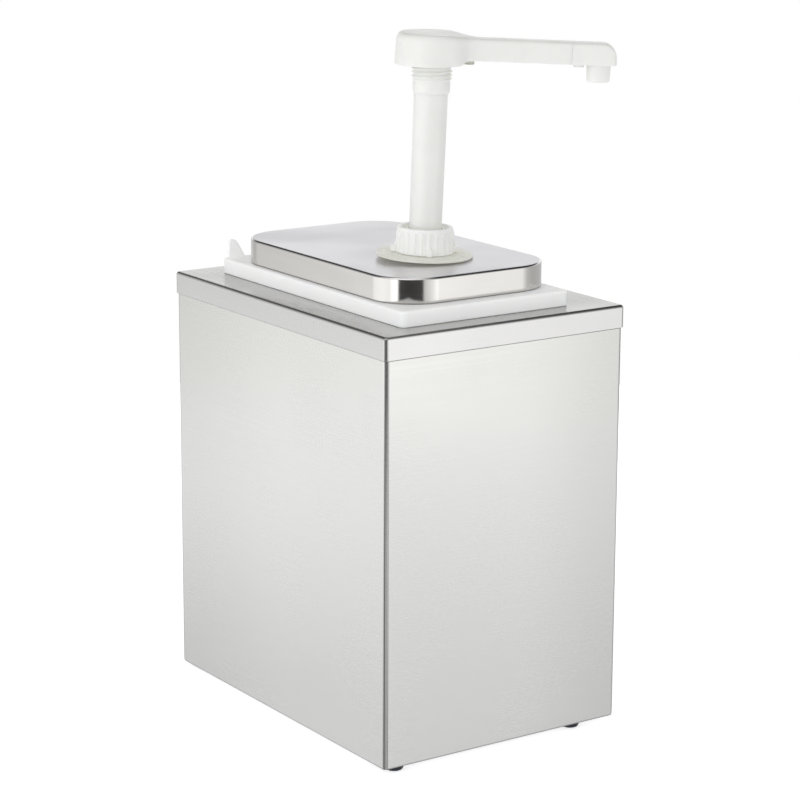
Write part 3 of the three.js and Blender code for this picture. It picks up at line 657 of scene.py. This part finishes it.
def nut_extra(a, s):
    up = max(0.0, min(1.0, (16.3 - s) / 0.9)) * max(0.0, min(1.0, (s - 3.2) / 0.3))
    ph = (a * 24 / (2 * math.pi)) % 1.0
    c = abs(ph - 0.5) * 2
    rib = 0.62 * max(0.0, 1.0 - (c / 0.46) ** 3) if c < 0.46 else 0.0
    e = rib * up
    for g in LUGS:
        da = abs((a - g + math.pi) % (2 * math.pi) - math.pi) * 18.0
        if da < 0.95 and 6.8 < s < 11.2:
            e = max(e, 1.55 * (11.2 - s) / 4.2 * min(1.0, (0.95 - da) / 0.3))
    if s < 7.35:
        for g in LUGS:
            da = abs((a - g + math.pi) % (2 * math.pi) - math.pi) * 18.0
            if da < 1.6:
                w = max(0.0, min(1.0, (1.55 - da) / 0.35)) * max(0.0, min(1.0, (7.3 - s) / 0.45)) * max(0.0, min(1.0, (s - 3.15) / 0.35))
                e = max(e, 2.95 * w ** 0.7)
    return e


p = fillet([(15.4, 3.3, 0.2), (16.75, 3.3, 0.35), (16.15, 18.3, 1.5), (13.7, 18.3, 0.5), (13.7, 15.1, 0), (15.4, 15.1, 0.2)], True, 7)
cut = []
for a, b in zip(p, p[1:] + p[:1]):
    cut.append(a)
    if a[0] > 16.1 and b[0] > 16.1 and abs(b[1] - a[1]) > 5:
        zs = [3.9, 4.4, 5.2, 6.2, 6.8, 6.95, 7.1, 7.25, 7.4, 8.2, 9.2, 10.2, 11.2, 12.5, 14.0, 15.3, 15.6, 15.9, 16.1, 16.3]
        cut += [(a[0] + (b[0] - a[0]) * (z - a[1]) / (b[1] - a[1]), z) for z in zs if min(a[1], b[1]) < z < max(a[1], b[1])]
rings = [[((r + (nut_extra(2 * math.pi * i / N, z) if r > 15.9 else 0)) * math.cos(2 * math.pi * i / N),
           (r + (nut_extra(2 * math.pi * i / N, z) if r > 15.9 else 0)) * math.sin(2 * math.pi * i / N), z) for i in range(N)] for r, z in cut]
nut = make("closure_nut_ribbed", *loft(rings, True), matrix=M_PUMP, sharp=60)
dress(nut, PB, CLOSURE, "white_plastic", "closure_nut", flat=False)

p = fillet([(9.9, 4.0, 0.3), (11.7, 4.0, 0.3), (11.7, 15.1, 0), (13.4, 15.1, 0.2), (13.4, 15.7, 0.3), (11.6, 15.8, 0.3), (11.1, 17.2, 0.5), (9.95, 17.2, 0.4)], True, 5)
collar = make("collar_ring", *turned(p, 96, True), matrix=M_PUMP)
dress(collar, PB, NATURAL, "natural_plastic", "guide_collar")

p = fillet([(3.0, -126, 0.3), (5.5, -126, 0.5), (5.5, -115, 0.4), (9.0, -112, 0.8), (9.0, -103.6, 0.6), (12.8, -101, 0.6), (12.8, 13.3, 0.2), (15.0, 13.3, 0.2), (15.0, 14.8, 0.3), (12.0, 14.8, 0.3), (12.0, -101, 0.3), (7.0, -101, 0.3), (7.0, -107.5, 0.4), (3.0, -112, 0.3)], True, 5)
barrel = make("pump_barrel", *turned(p, 96, True), matrix=M_PUMP)
dress(barrel, PB, NATURAL, "natural_plastic", "barrel")

p = fillet([(5.8, -115.6, 0.2), (7.3, -115.6, 0.4), (7.3, -244, 0.3), (5.8, -244, 0.2)], True, 4)
dip = make("dip_tube_cut", *turned(p, 72, True), matrix=M_PUMP)
dress(dip, PB, NATURAL, "natural_plastic", "dip_tube")


def lobes(a, s):
    return -1.3 * (0.5 - 0.5 * math.cos(8 * a)) if -12.4 < s < -5.2 else 0.0


p = fillet([(15.6, -12.5, 0.3), (21.2, -12.5, 0.8), (21.2, -5.0, 0.6), (15.6, -5.0, 0.3)], True, 6)
rings = [[((r + (lobes(2 * math.pi * i / 192, z) if r > 18 else 0)) * math.cos(2 * math.pi * i / 192),
           (r + (lobes(2 * math.pi * i / 192, z) if r > 18 else 0)) * math.sin(2 * math.pi * i / 192), z) for i in range(192)] for r, z in p]
clamp = make("clamp_nut_lobed", *loft(rings, True), matrix=M_PUMP)
dress(clamp, PB, WHITE, "white_plastic", "clamp_nut")

# return spring: closed end turns, open turns between
R_S, WIRE, TURNS, Z0, Z1 = 8.6, 0.65, 8, -98.6 + 0.7, -12.4 - 0.7
STEP = TURNS * 40
path = []
for i in range(STEP + 1):
    t = i / STEP
    e, pe = 1 / TURNS, 1.65
    z = Z0 + pe * t / e if t < e else (Z1 - pe * (1 - t) / e if t > 1 - e else Z0 + pe + (Z1 - Z0 - 2 * pe) * (t - e) / (1 - 2 * e))
    path.append((R_S * math.cos(2 * math.pi * TURNS * t), R_S * math.sin(2 * math.pi * TURNS * t), z, 2 * math.pi * TURNS * t))
rings = []
for x, y, z, a in path:
    u, w = np.array((math.cos(a), math.sin(a), 0)), np.array((0, 0, 1.0))
    rings.append([tuple(np.array((x, y, z)) + WIRE * (math.cos(b) * u + math.sin(b) * w)) for b in (2 * math.pi * j / 12 for j in range(12))])
spring = make("return_spring_wire", *loft(rings), matrix=M_PUMP)
spring.data.transform(spring.matrix_world)
spring.matrix_world = Matrix.Identity(4)
spring.data.materials.append(SPRING)
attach(spring, PB)
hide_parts("return_spring")
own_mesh(spring)

# piston and its cup seal
p = fillet([(3.2, -12, 0.3), (9.4, -12, 0.3), (9.4, -7.0, 0), (11.6, -7.0, 0.3), (11.6, 3.4, 0.4), (9.5, 3.4, 0.3), (9.5, -5.0, 0.2), (5.6, -5.0, 0.2), (3.2, -7.4, 0.3)], True, 5)
piston = make("piston_head", *turned(p, 96, True), matrix=M_PUMP)
dress(piston, "plunger", WHITE, "white_plastic", "piston")
p = fillet([(9.7, -12, 0.2), (10.6, -12, 0.2), (11.7, -11.3, 0.3), (11.45, -9.6, 0.5), (11.7, -8.0, 0.3), (10.8, -7.3, 0.2), (9.7, -7.3, 0.2)], True, 5)
pseal = make("piston_cup_seal", *turned(p, 96, True), matrix=M_PUMP)
dress(pseal, "plunger", SEAL, "seal_rubber", "piston_seal")

# stem
p = fillet([(6.0, -4.7, 0.3), (9.2, -4.7, 0.5), (9.2, 4, 0.4), (9.4, 18.6, 0), (9.75, 95.15, 0.2), (8.2, 95.15, 0), (8.2, 116, 0.3), (6.0, 116, 0.3), (6.0, 9.0, 0.3), (3.8, 7.5, 0.3), (3.8, 5.2, 0.3), (6.0, 4.6, 0.3)], True, 5)
stem = make("stem_tube", *turned(p, 112, True), matrix=M_PUMP)
dress(stem, "spout", WHITE, "white_plastic", "stem")


# head and arm: plan outline, raised with rounded edges
def smooth(x, a, b):
    t = max(0.0, min(1.0, (x - a) / (b - a)))
    return t * t * (3 - 2 * t)


HR = 21.3


def head_half():
    pts = [(79.0 - 49.5 * i / 14, 7.2) for i in range(15)]
    a0 = math.radians(33)
    P0 = np.array((HR * math.cos(a0), HR * math.sin(a0)))
    P1 = P0 + 4.2 * np.array((math.sin(a0), -math.cos(a0)))
    P3, P2 = np.array((29.5, 7.2)), np.array((23.5, 7.2))
    for i in range(1, 15):
        t = i / 15
        u = 1 - t
        q = u ** 3 * P3 + 3 * u * u * t * P2 + 3 * u * t * t * P1 + t ** 3 * P0
        pts.append(tuple(q))
    for i in range(41):
        a = a0 + (math.pi - a0) * i / 40
        pts.append((HR * math.cos(a), HR * math.sin(a)))
    pts[-1] = (-HR, 0.0)
    return pts


def raised(half, levels, s_of):
    """Rings of a plan outline symmetric about y = 0, with a flat end at the first point. levels: (inset, tag)."""
    n = len(half)
    normals = []
    for i in range(n):
        a, b = half[max(i - 1, 0)], half[min(i + 1, n - 1)]
        tx, ty = b[0] - a[0], b[1] - a[1]
        if i == n - 1:
            nx, ny = (1.0, 0.0) if half[-1][0] < half[0][0] else (-1.0, 0.0)
        else:
            L = math.hypot(tx, ty)
            tx, ty = tx / L, ty / L
            nx, ny = (-ty, tx) if half[-1][0] < half[0][0] else (ty, -tx)
        if i == 0:
            nx, ny = 0.0, -1.0
        normals.append((nx, ny))
    rings = []
    for d, tag in levels:
        up = []
        for i, ((x, y), (nx, ny)) in enumerate(zip(half, normals)):
            dx, dy = (d(x) if callable(d) else d), 0
            px, py = x + nx * dx, max(0.0, y + ny * dx)
            if i == n - 1:
                py = 0.0
            up.append((px, py, s_of(tag, x, px)))
        ring = [(x, -y, s) for x, y, s in up] + [q for q in reversed(up[:-1])]
        rings.append(ring)
    m = len(rings[0])
    verts = [q for r in rings for q in r]
    faces = []
    for j in range(len(rings) - 1):
        for i in range(m):
            a, b = j * m + i, j * m + (i + 1) % m
            faces.append((a, b, (j + 1) * m + (i + 1) % m, (j + 1) * m + i))
    for j, flip in ((0, True), (len(rings) - 1, False)):
        for i in range(n - 1):
            a, b = j * m + i, j * m + i + 1
            c, d = j * m + (m - 1 - i), j * m + (m - 2 - i)
            f = (a, b, d, c) if b != d else (a, b, c)
            faces.append(tuple(reversed(f)) if flip else f)
    return verts, faces


def head_top(x):
    return 129.8 - 2.1 * smooth(x, 9.0, 28.0)


def head_bot(x):
    return 112.15 + 0.03 * min(x, 15.0) + (115.15 - 112.15 - 0.03 * 15) * smooth(x, 15.5, 20.5)


def head_s(tag, x0, x):
    kind, q = tag
    if kind == "b":
        return head_bot(x0) + q
    if kind == "t":
        H = 4.6 - 1.9 * smooth(x0, 10, 30)
        return head_top(x0) - H * (1 - math.sin(q)) if q < 10 else head_top(x0)
    return 0


KF = 9
def draft(x):
    return 1.0 - smooth(x, 14, 22)


levels = [((lambda x: 0.40 - 0.35 * draft(x)), ("b", 0.0)), ((lambda x: 0.11 - 0.35 * draft(x)), ("b", 0.11)), ((lambda x: -0.35 * draft(x)), ("b", 0.38)), ((lambda x: -0.12 * draft(x)), ("b", 4.0))]
for i in range(KF + 1):
    q = math.pi / 2 * i / KF
    levels.append(((lambda x, q=q: 0.25 * draft(x) + (3.2 - 0.8 * smooth(x, 10, 30)) * (1 - math.cos(q))), ("t", q)))
head = make("spout_head_arm", *raised(head_half(), levels, head_s), matrix=M_PUMP)

neck = fillet([(0, 95.15, 0), (9.95, 95.15, 0.2), (10.85, 96.9, 0.5), (10.85, 100.9, 0.1), (10.65, 101.2, 0.1), (10.7, 113.0, 0), (0, 113.0, 0)], k=4)
neck = dense(neck, 95, 113, 0.28)
tf = thread(10.7, 1.15, 2.25, 102.6, 110.6, None)
neck_ob = make("neck_blank", *turned(neck, 128, False, lambda a, s: tf(a, s) if s > 101 else 0.0), matrix=M_PUMP)
boss = make("boss_blank", *turned(fillet([(0, 112.5, 0), (3.2, 112.5, 0.4), (3.2, 117, 0), (0, 117, 0)], k=4), 40), matrix=M_PUMP @ Matrix.Translation((0.0208, 0, 0)))
socket = make("socket_blank", *turned([(0, 80), (8.5, 80), (8.5, 117), (0, 117)], 96), matrix=M_PUMP)
combine(head, [neck_ob, boss], "UNION")
combine(head, [socket], "DIFFERENCE", 38)
# painted shade on the boss under the head
painted_boss_shade = head.data.attributes.new("painted_boss_shade", "FLOAT", "POINT")
painted_boss_shade.data.foreach_set("value", [1.0 if math.hypot(v.co.x / MM - 20.8, v.co.y / MM) < 3.3 and v.co.z / MM < 114.4 else 0.0 for v in head.data.vertices])
dress(head, "spout", WHITE, "white_plastic", "spout_head")

# elbow with its nozzle
E0, E1, EH, ETOP, ER, EB = 79.02, 105.0, 7.6, 127.6, 8.4, 115.15


def elbow_half():
    pts = [(E0 + (98.4 - E0) * i / 6, EH) for i in range(7)]
    for i in range(1, 13):
        t = i / 13
        u = 1 - t
        pts.append((u * u * 98.4 + 2 * u * t * E1 + t * t * E1, u * u * EH + 2 * u * t * EH + t * t * 1.2))
    pts += [(E1, 1.2), (E1, 0.6), (E1, 0.0)]
    return pts


def elbow_top(x):
    x = min(x, E1)
    return ETOP if x <= E1 - ER else ETOP - ER + math.sqrt(max(0.0, ER * ER - (x - E1 + ER) ** 2))


def elbow_s(tag, x0, x):
    kind, q = tag
    if kind == "b":
        return EB + q
    return elbow_top(x) - 2.4 * (1 - math.sin(q))


levels = [(0.7, ("b", 0.0)), (0.25, ("b", 0.12)), (0.0, ("b", 0.6))]
for i in range(KF + 1):
    q = math.pi / 2 * i / KF
    levels.append((2.2 * (1 - math.cos(q)), ("t", q)))
elbow = make("nozzle_elbow_body", *raised(elbow_half(), levels, elbow_s), matrix=M_PUMP)
noz = make("nozzle_blank", *turned(fillet([(0, 105.5, 0), (6.6, 105.5, 0.8), (7.0, 116.5, 0), (0, 116.5, 0)], k=6), 72), matrix=M_PUMP @ Matrix.Translation((0.0948, 0, 0)))
catch = make("catch_blank", *turned(fillet([(0, 113.25, 0), (3.0, 113.25, 0.5), (3.0, 117, 0), (0, 117, 0)], k=4), 40), matrix=M_PUMP @ Matrix.Translation((0.0834, 0, 0)))
bore = make("bore_blank", *turned([(0, 100), (4.2, 100), (4.2, 121), (0, 121)], 56), matrix=M_PUMP @ Matrix.Translation((0.0948, 0, 0)))
combine(elbow, [noz, catch], "UNION")
combine(elbow, [bore], "DIFFERENCE", 38)
dress(elbow, "spout", WHITE, "white_plastic", "nozzle_elbow")

# ------------------------------------------------------------------ carried-over CAD nodes
def paint(node, material):
    o = NODES[node]
    o.data.materials.clear()
    o.data.materials.append(material)


paint("base_plate", PLATE)
for key in ("front_left", "front_right", "back_left", "back_right"):
    paint("foot_screw_" + key, BOLT)
    paint("foot_nut_" + key, BOLT)
paint("lid_seal", SEAL)
paint("spring_seat", NATURAL)
paint("inlet_ball", SPRING)
paint("outlet_ball", SPRING)

# ------------------------------------------------------------------ stage and light
G = Vector((-0.562, -0.827, 0.0)).normalized()     # towards the camera, on the table
me = bpy.data.meshes.new("floor")
FR = 0.85
me.from_pydata([Vector((FR * math.cos(2 * math.pi * i / 96), FR * math.sin(2 * math.pi * i / 96), 0)) for i in range(96)], [], [tuple(range(96))])
floor = bpy.data.objects.new("floor", me)
scene.collection.objects.link(floor)
fm = bpy.data.materials.new("pale_floor")
fm.use_nodes = True
t = Tree(fm.node_tree)
out = t.node("ShaderNodeOutputMaterial")
b = t.node("ShaderNodeBsdfPrincipled")
t.link(b.outputs[0], out.inputs["Surface"])
co = t.node("ShaderNodeTexCoord")
ln = t.node("ShaderNodeVectorMath", operation="LENGTH")
t.link(co.outputs["Object"], ln.inputs[0])
seen = t.node("ShaderNodeLightPath")
fx_ = t.node("ShaderNodeSeparateXYZ")
t.link(co.outputs["Object"], fx_.inputs[0])
# painted shadow and painted light: the floor glows less close to the object and a little more far out towards -X
painted_glow = t.math("ADD", t.ramp(ln.outputs["Value"], 0.12, 0.80, 0.46, 0.67), t.ramp(fx_.outputs["X"], -0.28, -0.06, 0.09, 0.0))
t.link(t.math("ADD", painted_glow, t.math("MULTIPLY", seen.outputs["Is Camera Ray"], 0.20)), b.inputs["Emission Strength"])
b.inputs["Base Color"].default_value = (0.80, 0.80, 0.80, 1)
b.inputs["Roughness"].default_value = 0.9
b.inputs["Specular IOR Level"].default_value = 0.0
t.link(t.mix(seen.outputs["Is Camera Ray"], (0.94, 0.945, 1.0), (1.0, 1.0, 1.0)), b.inputs["Emission Color"])
floor.data.materials.append(fm)
floor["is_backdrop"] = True

world = bpy.data.worlds.new("studio")
scene.world = world
world.use_nodes = True
t = Tree(world.node_tree)
out = t.node("ShaderNodeOutputWorld")
co = t.node("ShaderNodeTexCoord")
nv = t.node("ShaderNodeVectorMath", operation="NORMALIZE")
t.link(co.outputs["Generated"], nv.inputs[0])
sp = t.node("ShaderNodeSeparateXYZ")
t.link(nv.outputs[0], sp.inputs[0])
x, y, z = sp.outputs
azimuth = t.math("ADD", t.math("DIVIDE", t.math("ARCTAN2", y, x), 2 * math.pi), 0.5)


def around(stops):
    """Light by direction round the object, as (degrees, level)."""
    n = t.node("ShaderNodeValToRGB")
    r = n.color_ramp
    while len(r.elements) > 1:
        r.elements.remove(r.elements[-1])
    for k, (a, v) in enumerate(stops):
        e = r.elements[0] if k == 0 else r.elements.new((a + 180.0) / 360.0)
        e.position = (a + 180.0) / 360.0
        e.color = (v, v, v * 1.0, 1)
    t.link(azimuth, n.inputs[0])
    return n.outputs[0]


LOW = around([(-180, 1.4), (-170, 1.95), (-160, 2.15), (-156, 0.07), (-128, 0.05), (-98, 0.07), (-94, 0.85), (-72, 1.28), (-59, 1.7), (-51, 1.15), (-38, 0.72), (-20, 0.6), (40, 0.65), (60, 0.8), (105, 0.87), (118, 1.10), (124, 1.29), (140, 1.42), (160, 1.5), (180, 1.4)])
SIDE = around([(-180, 0), (90, 0), (105, 1), (124, 1), (130, 0), (180, 0)])
MID = around([(-180, 1.12), (-160, 1.3), (-156, 0.10), (-128, 0.08), (-98, 0.10), (-94, 1.2), (-62, 1.3), (-40, 1.0), (0, 1.0), (56, 1.19), (110, 1.0), (140, 1.2), (180, 1.12)])
HIGH = around([(-180, 1.2), (-160, 1.4), (-124, 1.1), (-90, 1.05), (-62, 0.9), (-44, 0.16), (56, 0.14), (118, 0.16), (140, 0.8), (160, 1.2), (180, 1.2)])
SOFT = around([(-180, 1.13), (-150, 1.12), (-124, 1.11), (-100, 0.65), (-60, 0.56), (-20, 1.0), (20, 0.95), (60, 0.50), (120, 0.58), (150, 0.95), (180, 1.07)])
L = t.mix(t.math("MULTIPLY", SIDE, t.ramp(z, -0.205, -0.183, 0.0, 0.30)), LOW, (0.0, 0.0, 0.0))
L = t.mix(t.ramp(z, 0.02, 0.08), L, MID)
L = t.mix(t.ramp(z, 0.28, 0.46), L, HIGH)
L = t.mix(t.ramp(z, 0.86, 0.97), L, (1.1, 1.1, 1.1))
D = t.mix(t.ramp(z, 0.62, 0.93), SOFT, (0.30, 0.30, 0.30))
ray = t.node("ShaderNodeLightPath")
L = t.mix(ray.outputs["Is Diffuse Ray"], L, D)
bg = t.node("ShaderNodeBackground")
t.link(L, bg.inputs["Color"])
white = t.node("ShaderNodeBackground")
white.inputs["Color"].default_value = (1, 1, 1, 1)
lp_ = t.node("ShaderNodeLightPath")
mx = t.node("ShaderNodeMixShader")
t.link(lp_.outputs["Is Camera Ray"], mx.inputs[0])
t.link(bg.outputs[0], mx.inputs[1])
t.link(white.outputs[0], mx.inputs[2])
t.link(mx.outputs[0], out.inputs["Surface"])

lo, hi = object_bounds()
